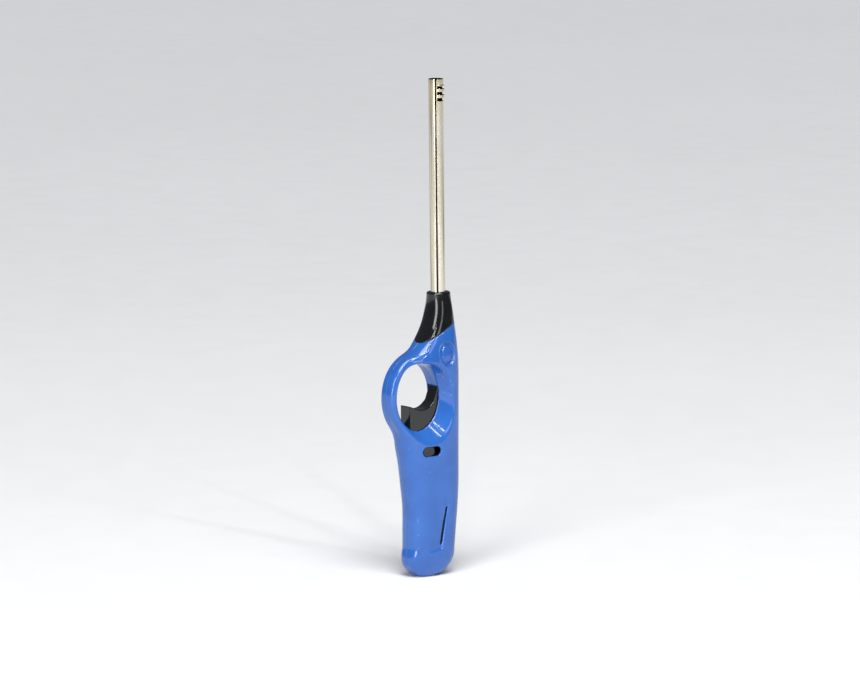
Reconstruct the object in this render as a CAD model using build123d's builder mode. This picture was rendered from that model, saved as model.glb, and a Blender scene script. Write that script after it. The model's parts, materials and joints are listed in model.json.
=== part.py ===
from build123d import *
from math import cos, pi, sin
import os

# A long-nosed butane lighter with a piezo spark: two moulded body shells with a finger ring,
# a nose cone, a rolled steel wand, and the trigger, spark and gas parts inside.
# Millimetres. +Z runs up the wand, +X is the spine, -X the finger ring, -Y the near side
# that carries the lock and the fuel sight slit. z = 0 is the base, under the box's centre.

# ---- body -------------------------------------------------------------------------------
# the hollow inside the shells: its distance from the edges, half depth and rounding
CAVITY_INSET, CAVITY_DEPTH, CAVITY_ROUND = 2.6, 7.6, 4.4
CAVITY_Z, CAVITY_TOP = 3.6, 74
CHANNEL_X, CHANNEL_HALF = (12.7, 20.6), 4.8    # hose and lead pass the finger hole here
# height, front edge x, spine edge x, half thickness
STATIONS = [
    (0, -3.1, 5.4, 4.8), (1, -4.8, 8.6, 6.4), (3, -7.2, 13.1, 8.0), (6, -9.8, 16.3, 9.3),
    (10, -10.5, 18.4, 10.3), (16, -9.5, 18.9, 10.8), (26, -9.3, 20.0, 10.8),
    (38, -9.3, 21.4, 10.8), (50, -10.7, 22.4, 10.8), (62, -12.3, 22.7, 10.8),
    (74, -14.6, 23.0, 10.8), (86, -14.4, 23.2, 10.8), (98, -12.8, 23.2, 10.8),
    (110, -11.3, 23.4, 10.6), (118, -9.2, 23.2, 10.4), (123, -4.6, 22.9, 10.0),
    (128, -0.5, 22.6, 9.6), (136, 4.4, 21.9, 8.7), (145, 7.2, 21.3, 7.7),
    (150, 7.9, 21.0, 6.8), (154.5, 7.85, 20.9, 6.3),
]
NECK_Z = 120              # above this the section turns from a rounded box to an ellipse
TOP_Z = STATIONS[-1][0]
SQUARENESS = 3.0          # superellipse power of the handle's section
SPINE_FULLNESS = 0.15     # the section is this much fuller towards the spine
OUT = 40                  # reaches past the body on every side

# finger ring and its hole
RING_CENTRE = (-4.05, 99.0)
RING_RX, RING_RZ = 19.35, 23.3
RING_DEPTH = 5.5          # half thickness of the ring bar
RING_ROUND = 2.8
HOLE_CENTRE = (-4.95, 99.4)
HOLE_RX, HOLE_RZ = 14.55, 18.3
DISH_START, DISH_END = 4.2, 11.7    # the hole flares between these distances from mid-plane
DISH_SHIFT = (4.0, -4.6)            # how far the flare's centre has moved at DISH_END
DISH_GROW = (3.5, 4.5)              # how far its radii have grown there
DISH_INSET = 0.45                   # the flare starts this far inside the hole's outline

# slanted joint between body and nose, and the nose's spigot inside the shells
JOINT_X, JOINT_Z, JOINT_SLOPE = 9.0, 132.7, 27.5
SPIGOT_Z, SPIGOT_TOP, SPIGOT_RX, SPIGOT_RY = 123.0, 140.0, 7.0, 5.6
SPIGOT_BORE_RX, SPIGOT_BORE_RY = 4.6, 3.7

# lock slot, boss, sight slit
LOCK_X, LOCK_Z, LOCK_LENGTH, LOCK_HEIGHT = 0.6, 69.4, 11.4, 5.2
LOCK_TRAVEL = 3.4
LOCK_PLATE_Y, LOCK_PLATE_T, LOCK_FACE_Y = 5.8, 0.9, 9.9
LOCK_PLATE_LENGTH, LOCK_PLATE_HEIGHT, LOCK_PLATE_SHIFT = 14.6, 6.2, 0.9
BOSS_CENTRE, BOSS_NORMAL = (12.1, -10.4, 121.4), (0, -0.996, 0.087)
BOSS_RX, BOSS_RZ, BOSS_SINK = 5.65, 7.4, 0.95
BOSS_MOAT = (0.9, 0.55)   # the moat's outer and inner edge, as shares of the boss's radii
SLIT_LOW, SLIT_HIGH, SLIT_WIDTH = (6.0, 18.3), (9.9, 37.5), 1.2
CUT_Y = 8                 # how far outwards the cuts through a side wall reach

# ---- wand -------------------------------------------------------------------------------
WAND_X = 14.1
TUBE_R, TUBE_WALL = 4.0, 0.4
TUBE_BASE, TUBE_TIP = 139.0, 270.0
SEAM_ANGLE, SEAM_GAP = -130.0, 0.8
VENT_COUNT, VENT_PITCH, VENT_HEIGHT = 3, 3.4, 1.6
VENT_TOP = TUBE_TIP - 4.5
VENT_FROM, VENT_TO = -114.0, -44.0
HOLDER_Z, HOLDER_TOP = 238.0, 250.0
NOZZLE_Z, NOZZLE_SHOULDER, NOZZLE_TIP = 244.0, 252.0, 256.0
NOZZLE_R, NOZZLE_TIP_R, NOZZLE_BORE = 1.6, 0.9, 0.3
ELECTRODE_R, ELECTRODE_LENGTH = 0.35, 7.0
HOLDER_GAP = 0.1
HOSE_R, HOSE_BORE, HOSE_BEND = 1.25, 0.65, 60
WIRE_R = 0.55
WIRE_OFFSET = 2.6         # the spark lead runs this far from the wand's axis

# ---- trigger and spark ------------------------------------------------------------------
TRIGGER_HALF = 4.2
TRIGGER_LEFT, TRIGGER_RIGHT = -9.7, 11.0
# x, height along the curved face that the finger pulls, from the ring to the top of its arm
FINGER_FACE = [
    (TRIGGER_LEFT, 94.5), (-5.4, 92.8), (-1.5, 91.8), (2.2, 92.3), (5.2, 93.9), (8.0, 96.9),
    (9.3, 100.0), (9.8, 103.0),
]
ARM_TOP = 102.8
FOOT_Z, FOOT_TOP, FOOT_HALF = 72.5, 77.4, 5.0
SLOT_GAP = 0.25
SLOT_LOW, SLOT_TOP = 68.0, 104.0
FOOT_POCKET_X = (TRIGGER_LEFT - 0.5, TRIGGER_RIGHT + 1.2)
PIEZO_X = -1.0
PIEZO_OUTER, PIEZO_INNER = 8.0, 6.6
PIEZO_Z, PIEZO_FLOOR, PIEZO_LEDGE, PIEZO_TOP = 41.0, 42.5, 52.5, 67.0
CRYSTAL_R, ANVIL_T = 1.6, 1.5
PLUNGER_Z, PLUNGER_SIDE, PLUNGER_BORE = 61.0, 6.3, 2.15

# ---- gas --------------------------------------------------------------------------------
TANK_GAP = 0.4
TANK_Z, TANK_TOP, LID_T, TANK_WALL = 4.0, 38.0, 2.0, 1.2
VALVE_X, VALVE_R = 15.0, 2.4
VALVE_Z, VALVE_TOP = 35.0, 60.0
SEAT_Z, STEM_R, STEM_TOP = 47.2, 0.95, 71.0
COLLAR_Z, COLLAR_T = 66.5, 0.8
ADJUSTER_Z, ADJUSTER_T = 53.0, 2.0
WINDOW_WIDTH = 11.0
PIVOT_X, PIVOT_Z, PIVOT_R = 11.3, 65.0, 1.0
POST_LENGTH, PIN_HOLE, PIN_LENGTH = 2.4, 3.6, 3.4
LEVER_Y, LEVER_T = 4.5, 1.2
LEVER_TIP_X, LEVER_TIP_Z = -1.0, 71.1
FORK_TOP, FORK_T = COLLAR_Z - 0.2, 1.0
FORK_LEFT, FORK_RIGHT, FORK_NEAR = VALVE_X - 2.6, VALVE_X + 0.6, -2.3
TAB_REACH = 9.8           # the adjuster's tab ends this far from the valve's axis
REFILL_X = 2.05
REFILL_R, REFILL_TOP, REFILL_PORT_TOP = 2.4, 12.0, 10.0


def write(part, name):
    part.label = name
    export_step(part, f"parts/{name}.step")


def section(front, spine, half, squareness, fullness):
    """One side of a body section, from the spine round to the front, a little past mid-plane."""
    centre, reach = (front + spine) / 2, (spine - front) / 2
    points = [(spine, 1.5)]
    for step in range(10):
        angle = pi * step / 9
        along, across = cos(angle), abs(sin(angle))
        side = 1 if along >= 0 else -1
        x = centre + side * reach * abs(along) ** (2 / squareness)
        y = -half * (1 + fullness * along) * across ** (2 / squareness)
        points.append((x, y))
    return points + [(front, 1.5)]


def outer_half():
    """The near half of the body and nose, solid."""
    with BuildPart() as form:
        for z, front, spine, half in STATIONS:
            neck = min(1.0, max(0.0, (z - NECK_Z) / (TOP_Z - NECK_Z)))
            squareness = SQUARENESS - (SQUARENESS - 2.0) * neck
            fullness = SPINE_FULLNESS * (1 - neck)
            points = section(front, spine, half, squareness, fullness)
            with BuildSketch(Plane.XY.offset(z)):
                with BuildLine():
                    Spline(*points, tangents=((0, -1), (0, 1)))
                    Line(points[-1], points[0])
                make_face()
        loft()
        split(bisect_by=Plane.XZ, keep=Keep.TOP)
    return form.part


def well(gap, low, high, start=0.0):
    """The near half of the handle's hollow, smaller by gap all round, between two heights."""
    inset = CAVITY_INSET + gap
    stations = [row for row in STATIONS if 6 <= row[0] <= CAVITY_TOP]
    front = [(row[1] + inset, row[0]) for row in stations]
    spine = [(row[2] - inset, row[0]) for row in stations]
    with BuildPart() as hollow:
        with BuildSketch(Plane.XZ.offset(-start)):
            with BuildLine():
                Spline(*front)
                Spline(*spine)
                Line(front[-1], spine[-1])
                Polyline(front[0], (front[0][0] + 2.4, low), (spine[0][0] - 2.4, low), spine[0])
            make_face()
            with Locations((0, high)):
                Rectangle(4 * OUT, 4 * OUT, align=(Align.CENTER, Align.MIN), mode=Mode.SUBTRACT)
        extrude(amount=CAVITY_DEPTH - gap + start)
        fillet(hollow.faces().sort_by(Axis.Y)[0].edges(), CAVITY_ROUND - gap / 2)
    return hollow.part


def layer(part, low, high):
    """The part of a solid between two heights."""
    with BuildPart() as block:
        with BuildSketch(Plane.XY.offset(low)):
            Rectangle(2 * OUT, 2 * OUT)
        extrude(amount=high - low)
    return part & block.part


def below_joint():
    """Everything under the slanted joint between body and nose."""
    with BuildPart() as block:
        tilted = Plane((JOINT_X, 0, JOINT_Z)).rotated((0, -JOINT_SLOPE, 0))
        with BuildSketch(tilted):
            Rectangle(8 * OUT, 3 * OUT)
        extrude(amount=-5 * OUT)
    return block.part


def hole_prism():
    """The finger hole's prism, from just past mid-plane to outside the near face."""
    with BuildPart() as prism:
        with BuildSketch(Plane.XZ.offset(-2)):
            with Locations(HOLE_CENTRE):
                Ellipse(HOLE_RX, HOLE_RZ)
        extrude(amount=OUT)
    return prism.part


def dish():
    """The flare of the finger hole towards the near face."""
    with BuildPart() as flare:
        with BuildSketch(Plane.XZ.offset(DISH_START)):
            with Locations(HOLE_CENTRE):
                Ellipse(HOLE_RX - DISH_INSET, HOLE_RZ - DISH_INSET)
        with BuildSketch(Plane.XZ.offset(DISH_END)):
            with Locations((HOLE_CENTRE[0] + DISH_SHIFT[0], HOLE_CENTRE[1] + DISH_SHIFT[1])):
                Ellipse(HOLE_RX + DISH_GROW[0], HOLE_RZ + DISH_GROW[1])
        loft()
    return flare.part


def ring_half():
    """The near half of the finger ring, still a disc."""
    with BuildPart() as ring:
        with BuildSketch(Plane.XZ):
            with Locations(RING_CENTRE):
                Ellipse(RING_RX, RING_RZ)
        extrude(amount=RING_DEPTH)
        fillet(ring.edges().group_by(Axis.Y)[0], RING_ROUND)
    return ring.part


def trigger_slot():
    """The slot that the trigger runs in, through the wall of the finger hole."""
    with BuildPart() as slot:
        with BuildSketch(Plane.XY.offset(SLOT_LOW)):
            with Locations(((TRIGGER_LEFT + TRIGGER_RIGHT) / 2, 0)):
                width = TRIGGER_RIGHT - TRIGGER_LEFT + 2 * SLOT_GAP
                Rectangle(width, 2 * (TRIGGER_HALF + SLOT_GAP))
        extrude(amount=SLOT_TOP - SLOT_LOW)
    return slot.part


def pocket(x_low, x_high, half, z_low, z_high):
    """A straight-sided pocket across mid-plane."""
    with BuildPart() as block:
        with BuildSketch(Plane.XY.offset(z_low)):
            with Locations(((x_low + x_high) / 2, 0)):
                Rectangle(x_high - x_low, 2 * half)
        extrude(amount=z_high - z_low)
    return block.part


def spigot(rx, ry, low, high):
    """An oval post on the wand's axis."""
    with BuildPart() as post:
        with BuildSketch(Plane((WAND_X, 0, low))):
            Ellipse(rx, ry)
        extrude(amount=high - low)
    return post.part


def disc(x, low, high, radius):
    """A plain round piece standing on a height."""
    with BuildPart() as piece:
        with BuildSketch(Plane((x, 0, low))):
            Circle(radius)
        extrude(amount=high - low)
    return piece.part


# ---- body shells ------------------------------------------------------------------------
outer = outer_half()
solid_half = (outer & below_joint()) + ring_half() - hole_prism() - dish()


shell_half = solid_half - well(0, CAVITY_Z, CAVITY_TOP, start=1.5)
shell_half = shell_half - pocket(*CHANNEL_X, CHANNEL_HALF, SLOT_LOW, SPIGOT_Z + 2)
shell_half = shell_half - pocket(*FOOT_POCKET_X, FOOT_HALF + 0.3, SLOT_LOW, FOOT_TOP + 0.3)
shell_half = shell_half - spigot(SPIGOT_RX + 0.03, SPIGOT_RY + 0.03, SPIGOT_Z - 0.05, TOP_Z)

with BuildPart() as boss_moat:
    with BuildSketch(Plane(BOSS_CENTRE, x_dir=(1, 0, 0), z_dir=BOSS_NORMAL).offset(-BOSS_SINK)):
        Ellipse(BOSS_MOAT[0] * BOSS_RX, BOSS_MOAT[0] * BOSS_RZ)
        Ellipse(BOSS_MOAT[1] * BOSS_RX, BOSS_MOAT[1] * BOSS_RZ, mode=Mode.SUBTRACT)
    extrude(amount=3)
shell_half = shell_half - boss_moat.part
shell_half = shell_half - trigger_slot()
shell_half = shell_half - disc(REFILL_X, -1, REFILL_PORT_TOP, REFILL_R + 0.05)

with BuildPart() as near_shell:
    add(shell_half)
    # groove of the lock
    with BuildSketch(Plane.XZ.offset(5)):
        with Locations((LOCK_X, LOCK_Z)):
            SlotOverall(LOCK_LENGTH, LOCK_HEIGHT)
    extrude(amount=CUT_Y, mode=Mode.SUBTRACT)
    # fuel sight slit
    with BuildSketch(Plane.XZ.offset(4)):
        with BuildLine():
            Line(SLIT_LOW, SLIT_HIGH)
        trace(line_width=SLIT_WIDTH)
    extrude(amount=CUT_Y, mode=Mode.SUBTRACT)

with BuildPart() as far_shell:
    add(shell_half)
    mirror(about=Plane.XZ, mode=Mode.REPLACE)
    # bearing post of the gas lever's pin
    with BuildSketch(Plane.XZ.offset(-LEVER_Y - LEVER_T - 0.2)):
        with Locations((PIVOT_X, PIVOT_Z)):
            Circle(PIVOT_R + 1.1)
    extrude(amount=-POST_LENGTH)
    with BuildSketch(Plane.XZ.offset(-LEVER_Y)):
        with Locations((PIVOT_X, PIVOT_Z)):
            Circle(PIVOT_R)
    extrude(amount=-PIN_HOLE, mode=Mode.SUBTRACT)
    # window for the flame adjuster's tab
    with BuildSketch(Plane.XY.offset(ADJUSTER_Z - 0.5)):
        with Locations((VALVE_X, CUT_Y)):
            Rectangle(WINDOW_WIDTH, CUT_Y)
    extrude(amount=ADJUSTER_T + 1, mode=Mode.SUBTRACT)

# ---- nose cone --------------------------------------------------------------------------
with BuildPart() as nose_cone:
    add(outer - below_joint())
    mirror(about=Plane.XZ)
    add(spigot(SPIGOT_RX, SPIGOT_RY, SPIGOT_Z, SPIGOT_TOP))
    # passage for hose and lead, then the wand's bore above a ledge
    add(spigot(SPIGOT_BORE_RX, SPIGOT_BORE_RY, SPIGOT_Z - 1, TUBE_BASE + 1), mode=Mode.SUBTRACT)
    add(spigot(TUBE_R + 0.02, TUBE_R + 0.02, TUBE_BASE, TOP_Z + 1), mode=Mode.SUBTRACT)

# ---- wand -------------------------------------------------------------------------------
wand_plane = Plane((WAND_X, 0, TUBE_BASE))
with BuildPart() as wand_tube:
    with BuildSketch(wand_plane):
        Circle(TUBE_R)
        Circle(TUBE_R - TUBE_WALL, mode=Mode.SUBTRACT)
        with PolarLocations(TUBE_R, 1, start_angle=SEAM_ANGLE):
            Rectangle(2, SEAM_GAP, mode=Mode.SUBTRACT)
    extrude(amount=TUBE_TIP - TUBE_BASE)
    for vent in range(VENT_COUNT):
        low = VENT_TOP - VENT_HEIGHT - vent * VENT_PITCH
        with BuildSketch(Plane((WAND_X, 0, low))):
            with BuildLine():
                sweep_angle = VENT_TO - VENT_FROM
                arc = CenterArc((0, 0), TUBE_R + 1, VENT_FROM, sweep_angle)
                Line((0, 0), arc @ 0)
                Line(arc @ 1, (0, 0))
            make_face()
        extrude(amount=VENT_HEIGHT, mode=Mode.SUBTRACT)

with BuildPart() as nozzle_holder:
    with BuildSketch(Plane((WAND_X, 0, HOLDER_Z))):
        Circle(TUBE_R - TUBE_WALL - HOLDER_GAP)
        Circle(HOSE_R, mode=Mode.SUBTRACT)
        with Locations((0, -WIRE_OFFSET)):
            Circle(WIRE_R, mode=Mode.SUBTRACT)
    extrude(amount=NOZZLE_Z - HOLDER_Z)
    with BuildSketch(Plane((WAND_X, 0, NOZZLE_Z))):
        Circle(TUBE_R - TUBE_WALL - HOLDER_GAP)
        Circle(NOZZLE_R, mode=Mode.SUBTRACT)
        with Locations((0, -WIRE_OFFSET)):
            Circle(WIRE_R, mode=Mode.SUBTRACT)
    extrude(amount=HOLDER_TOP - NOZZLE_Z)

with BuildPart() as burner_nozzle:
    with BuildSketch(Plane.XZ):
        with BuildLine():
            Polyline(
                (WAND_X + NOZZLE_BORE, NOZZLE_Z), (WAND_X + NOZZLE_R, NOZZLE_Z),
                (WAND_X + NOZZLE_R, NOZZLE_SHOULDER), (WAND_X + NOZZLE_TIP_R, NOZZLE_TIP),
                (WAND_X + NOZZLE_BORE, NOZZLE_TIP), close=True,
            )
        make_face()
    revolve(axis=Axis((WAND_X, 0, 0), (0, 0, 1)))

with BuildPart() as spark_electrode:
    with BuildSketch(Plane((WAND_X, -WIRE_OFFSET, HOLDER_TOP))):
        Circle(ELECTRODE_R)
    extrude(amount=ELECTRODE_LENGTH)

HOSE_PATH = [
    (VALVE_X, 0, STEM_TOP - 2), (VALVE_X, 0, 119), (WAND_X, 0, 137), (WAND_X, 0, NOZZLE_Z),
]
with BuildPart() as gas_hose:
    with BuildLine() as hose_line:
        FilletPolyline(*HOSE_PATH, radius=HOSE_BEND)
    with BuildSketch(Plane(HOSE_PATH[0])):
        Circle(HOSE_R)
        Circle(HOSE_BORE, mode=Mode.SUBTRACT)
    sweep()

WIRE_PATH = [
    (PIEZO_X + CRYSTAL_R + 0.1, 0, PIEZO_FLOOR + 0.8), (6.0, -0.2, PIEZO_FLOOR + 0.9),
    (9.2, -4.0, 51), (11.2, -4.3, 63), (13.9, -3.9, 77), (15.3, -3.2, 92),
    (15.7, -3.0, 107), (15.1, -2.7, 122), (WAND_X, -WIRE_OFFSET, 136),
    (WAND_X, -WIRE_OFFSET, HOLDER_TOP),
]
WIRE_RADII = [4, 6, 20, 30, 30, 30, 30, 30]
with BuildPart() as ignition_wire:
    with BuildLine() as wire_line:
        FilletPolyline(*WIRE_PATH, radius=WIRE_RADII)
    with BuildSketch(Plane(WIRE_PATH[0], z_dir=wire_line.line % 0)):
        Circle(WIRE_R)
    sweep()

# ---- trigger ----------------------------------------------------------------------------
with BuildPart() as trigger:
    with BuildSketch(Plane.XZ.offset(-TRIGGER_HALF)):
        with BuildLine():
            Spline(*FINGER_FACE)
            Polyline(
                FINGER_FACE[-1], (TRIGGER_RIGHT, ARM_TOP), (TRIGGER_RIGHT, FOOT_TOP - 1),
                (TRIGGER_LEFT, FOOT_TOP - 1), FINGER_FACE[0],
            )
        make_face()
    extrude(amount=2 * TRIGGER_HALF)
    with BuildSketch(Plane.XY.offset(FOOT_Z)):
        with Locations(((TRIGGER_LEFT + TRIGGER_RIGHT) / 2, 0)):
            Rectangle(TRIGGER_RIGHT - TRIGGER_LEFT - 0.4, 2 * FOOT_HALF)
    extrude(amount=FOOT_TOP - FOOT_Z)

lock_rest_x = LOCK_X - LOCK_TRAVEL / 2
with BuildPart() as lock_slider:
    with BuildSketch(Plane.XZ.offset(LOCK_PLATE_Y)):
        with Locations((lock_rest_x + LOCK_PLATE_SHIFT, LOCK_Z - 0.6)):
            Rectangle(LOCK_PLATE_LENGTH, LOCK_PLATE_HEIGHT)
    extrude(amount=LOCK_PLATE_T)
    with BuildSketch(Plane.XZ.offset(LOCK_PLATE_Y + LOCK_PLATE_T)):
        with Locations((lock_rest_x, LOCK_Z)):
            SlotOverall(LOCK_LENGTH - LOCK_TRAVEL - 0.2, LOCK_HEIGHT - 0.4)
    extrude(amount=LOCK_FACE_Y - LOCK_PLATE_Y - LOCK_PLATE_T)

# ---- piezo spark unit -------------------------------------------------------------------
with BuildPart() as piezo_housing:
    with BuildSketch(Plane((PIEZO_X, 0, PIEZO_Z))):
        Rectangle(PIEZO_OUTER, PIEZO_OUTER)
    extrude(amount=PIEZO_TOP - PIEZO_Z)
    with BuildSketch(Plane((PIEZO_X, 0, PIEZO_FLOOR))):
        Circle(CRYSTAL_R + 0.02)
    extrude(amount=PIEZO_LEDGE - PIEZO_FLOOR, mode=Mode.SUBTRACT)
    with BuildSketch(Plane((PIEZO_X, 0, PIEZO_LEDGE))):
        Rectangle(PIEZO_INNER, PIEZO_INNER)
    extrude(amount=PIEZO_TOP - PIEZO_LEDGE, mode=Mode.SUBTRACT)
    with BuildSketch(Plane((PIEZO_X, 0, PIEZO_FLOOR + 0.8), x_dir=(0, 1, 0), z_dir=(1, 0, 0))):
        Circle(WIRE_R + 0.25)
    extrude(amount=PIEZO_OUTER, mode=Mode.SUBTRACT)


piezo_anvil = disc(PIEZO_X, PIEZO_FLOOR, PIEZO_FLOOR + ANVIL_T, CRYSTAL_R)
piezo_crystal = disc(PIEZO_X, PIEZO_FLOOR + ANVIL_T, PIEZO_LEDGE - ANVIL_T, CRYSTAL_R)
strike_pad = disc(PIEZO_X, PIEZO_LEDGE - ANVIL_T, PIEZO_LEDGE, CRYSTAL_R)
piezo_hammer = disc(PIEZO_X, PIEZO_LEDGE + 0.3, PIEZO_LEDGE + 5, 1.9)

with BuildPart() as piezo_plunger:
    with BuildSketch(Plane((PIEZO_X, 0, PLUNGER_Z))):
        Rectangle(PLUNGER_SIDE, PLUNGER_SIDE)
    extrude(amount=FOOT_Z - PLUNGER_Z)
    with BuildSketch(Plane((PIEZO_X, 0, PLUNGER_Z))):
        Circle(PLUNGER_BORE)
    extrude(amount=7.5, mode=Mode.SUBTRACT)


def coil_spring(x, low, high, radius, wire_r, turns):
    """A round-wire compression spring standing between two heights."""
    height = high - low - 2 * wire_r
    with BuildPart() as spring:
        with BuildLine(Plane((x, 0, low + wire_r))) as line:
            Helix(pitch=height / turns, height=height, radius=radius)
        with BuildSketch(Plane(line.line @ 0, z_dir=line.line % 0)):
            Circle(wire_r)
        sweep(is_frenet=True)
    return spring.part


piezo_spring = coil_spring(PIEZO_X, PIEZO_LEDGE, PLUNGER_Z, 2.6, 0.25, 6)

# ---- fuel tank --------------------------------------------------------------------------
tank_form = well(TANK_GAP, TANK_Z, 60)
tank_space = well(TANK_GAP + TANK_WALL, TANK_Z + TANK_WALL, 60, start=1.5)
tank_outer = layer(tank_form, 0, TANK_TOP)
tank_inner = layer(tank_space, 0, TANK_TOP + 1)
lid_plate = layer(tank_form, TANK_TOP, TANK_TOP + LID_T)

with BuildPart() as fuel_tank:
    add(tank_outer - tank_inner)
    mirror(about=Plane.XZ)
    with BuildSketch(Plane.XY.offset(TANK_Z)):
        with Locations((REFILL_X, 0)):
            Circle(REFILL_R + 0.02)
    extrude(amount=TANK_WALL + 1, mode=Mode.SUBTRACT)

with BuildPart() as tank_lid:
    add(lid_plate)
    mirror(about=Plane.XZ)
    with BuildSketch(Plane.XY.offset(TANK_TOP - 2)):
        with Locations((VALVE_X, 0)):
            Circle(VALVE_R)
    extrude(amount=LID_T + 3, mode=Mode.SUBTRACT)

fuel_wick = disc(VALVE_X, VALVE_Z - 9, VALVE_Z, 0.8)


def turned(x, outline):
    """A piece turned about a vertical axis, from its half outline of (radius, height)."""
    with BuildPart() as piece:
        with BuildSketch(Plane.XZ):
            with BuildLine():
                Polyline(*[(x + radius, z) for radius, z in outline], close=True)
            make_face()
        revolve(axis=Axis((x, 0, 0), (0, 0, 1)))
    return piece.part


# ---- outlet valve -----------------------------------------------------------------------
outlet_valve_body = turned(VALVE_X, [
    (0.5, VALVE_Z), (1.5, VALVE_Z), (1.5, TANK_TOP), (VALVE_R, TANK_TOP), (VALVE_R, VALVE_TOP),
    (STEM_R + 0.06, VALVE_TOP), (STEM_R + 0.06, VALVE_TOP - 1.5), (1.9, VALVE_TOP - 1.5),
    (1.9, SEAT_Z), (0.5, SEAT_Z),
])
outlet_valve_stem = turned(VALVE_X, [
    (0.4, SEAT_Z + 4), (0.4, STEM_TOP), (0.6, STEM_TOP), (0.6, COLLAR_Z + COLLAR_T),
    (2.3, COLLAR_Z + COLLAR_T), (2.3, COLLAR_Z), (STEM_R, COLLAR_Z), (STEM_R, SEAT_Z + 2.6),
    (1.8, SEAT_Z + 2.6), (1.8, SEAT_Z + 0.8), (0, SEAT_Z + 0.8), (0, SEAT_Z + 4),
])
outlet_seal = disc(VALVE_X, SEAT_Z, SEAT_Z + 0.8, 1.7)
outlet_spring = coil_spring(VALVE_X, SEAT_Z + 2.6, VALVE_TOP - 1.5, 1.45, 0.2, 7)

with BuildPart() as flame_adjuster:
    with BuildSketch(Plane((VALVE_X, 0, ADJUSTER_Z))):
        Circle(VALVE_R + 1.8)
        with Locations((0, VALVE_R)):
            Rectangle(2.4, TAB_REACH - VALVE_R, align=(Align.CENTER, Align.MIN))
        Circle(VALVE_R + 0.05, mode=Mode.SUBTRACT)
    extrude(amount=ADJUSTER_T)

# ---- gas lever --------------------------------------------------------------------------
with BuildPart() as gas_lever:
    with BuildSketch(Plane.XZ.offset(-LEVER_Y)):
        with BuildLine():
            Polyline(
                (LEVER_TIP_X, LEVER_TIP_Z + 1.0), (LEVER_TIP_X - 1.2, LEVER_TIP_Z),
                (LEVER_TIP_X, LEVER_TIP_Z - 1.0), (PIVOT_X - 1, PIVOT_Z - 2.1),
                (PIVOT_X + 1.6, PIVOT_Z - 1.8), (FORK_RIGHT, FORK_TOP - FORK_T),
                (FORK_RIGHT, FORK_TOP), (PIVOT_X + 1.0, PIVOT_Z + 1.6),
                (PIVOT_X - 1, PIVOT_Z + 1.9), close=True,
            )
        make_face()
        with Locations((PIVOT_X, PIVOT_Z)):
            Circle(PIVOT_R + 0.05, mode=Mode.SUBTRACT)
    extrude(amount=-LEVER_T)
    # fork under the valve stem's collar, open towards the spine
    with BuildSketch(Plane.XY.offset(FORK_TOP - FORK_T)):
        with Locations((FORK_LEFT, FORK_NEAR)):
            fork_size = (FORK_RIGHT - FORK_LEFT, LEVER_Y + LEVER_T - FORK_NEAR)
            Rectangle(*fork_size, align=(Align.MIN, Align.MIN))
        with Locations((VALVE_X - 1.8, 0)):
            fork_slot = (FORK_RIGHT - FORK_LEFT, 2 * STEM_R + 0.6)
            Rectangle(*fork_slot, align=(Align.MIN, Align.CENTER), mode=Mode.SUBTRACT)
    extrude(amount=FORK_T)

with BuildPart() as lever_pin:
    with BuildSketch(Plane.XZ.offset(-LEVER_Y + 0.6)):
        with Locations((PIVOT_X, PIVOT_Z)):
            Circle(PIVOT_R)
    extrude(amount=-PIN_LENGTH)

# ---- refill valve -----------------------------------------------------------------------
refill_valve_body = turned(REFILL_X, [
    (1.1, 0.6), (REFILL_R, 0.6), (REFILL_R, REFILL_TOP), (0.4, REFILL_TOP),
    (0.4, REFILL_TOP - 1), (1.7, REFILL_TOP - 1), (1.7, 2.6), (1.1, 2.6),
])
refill_valve_stem = turned(REFILL_X, [
    (0.4, 0.3), (1.0, 0.3), (1.0, 2.7), (1.6, 2.7), (1.6, 4.2), (0, 4.2), (0, 3.2), (0.4, 3.2),
])
refill_spring = coil_spring(REFILL_X, 4.2, REFILL_TOP - 1, 1.25, 0.2, 5)

os.makedirs("parts", exist_ok=True)
write(near_shell.part, "near_shell")
write(far_shell.part, "far_shell")
write(nose_cone.part, "nose_cone")
write(wand_tube.part, "wand_tube")
write(nozzle_holder.part, "nozzle_holder")
write(burner_nozzle.part, "burner_nozzle")
write(spark_electrode.part, "spark_electrode")
write(gas_hose.part, "gas_hose")
write(ignition_wire.part, "ignition_wire")
write(trigger.part, "trigger")
write(lock_slider.part, "lock_slider")
write(piezo_housing.part, "piezo_housing")
write(piezo_anvil, "piezo_anvil")
write(piezo_crystal, "piezo_crystal")
write(strike_pad, "strike_pad")
write(piezo_hammer, "piezo_hammer")
write(piezo_plunger.part, "piezo_plunger")
write(piezo_spring, "piezo_spring")
write(fuel_tank.part, "fuel_tank")
write(tank_lid.part, "tank_lid")
write(fuel_wick, "fuel_wick")
write(outlet_valve_body, "outlet_valve_body")
write(outlet_valve_stem, "outlet_valve_stem")
write(outlet_seal, "outlet_seal")
write(outlet_spring, "outlet_spring")
write(flame_adjuster.part, "flame_adjuster")
write(gas_lever.part, "gas_lever")
write(lever_pin.part, "lever_pin")
write(refill_valve_body, "refill_valve_body")
write(refill_valve_stem, "refill_valve_stem")
write(refill_spring, "refill_spring")
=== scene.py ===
import json
from math import cos, pi, radians, sin

import bmesh
import bpy
import numpy as np
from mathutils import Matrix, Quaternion, Vector


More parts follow.
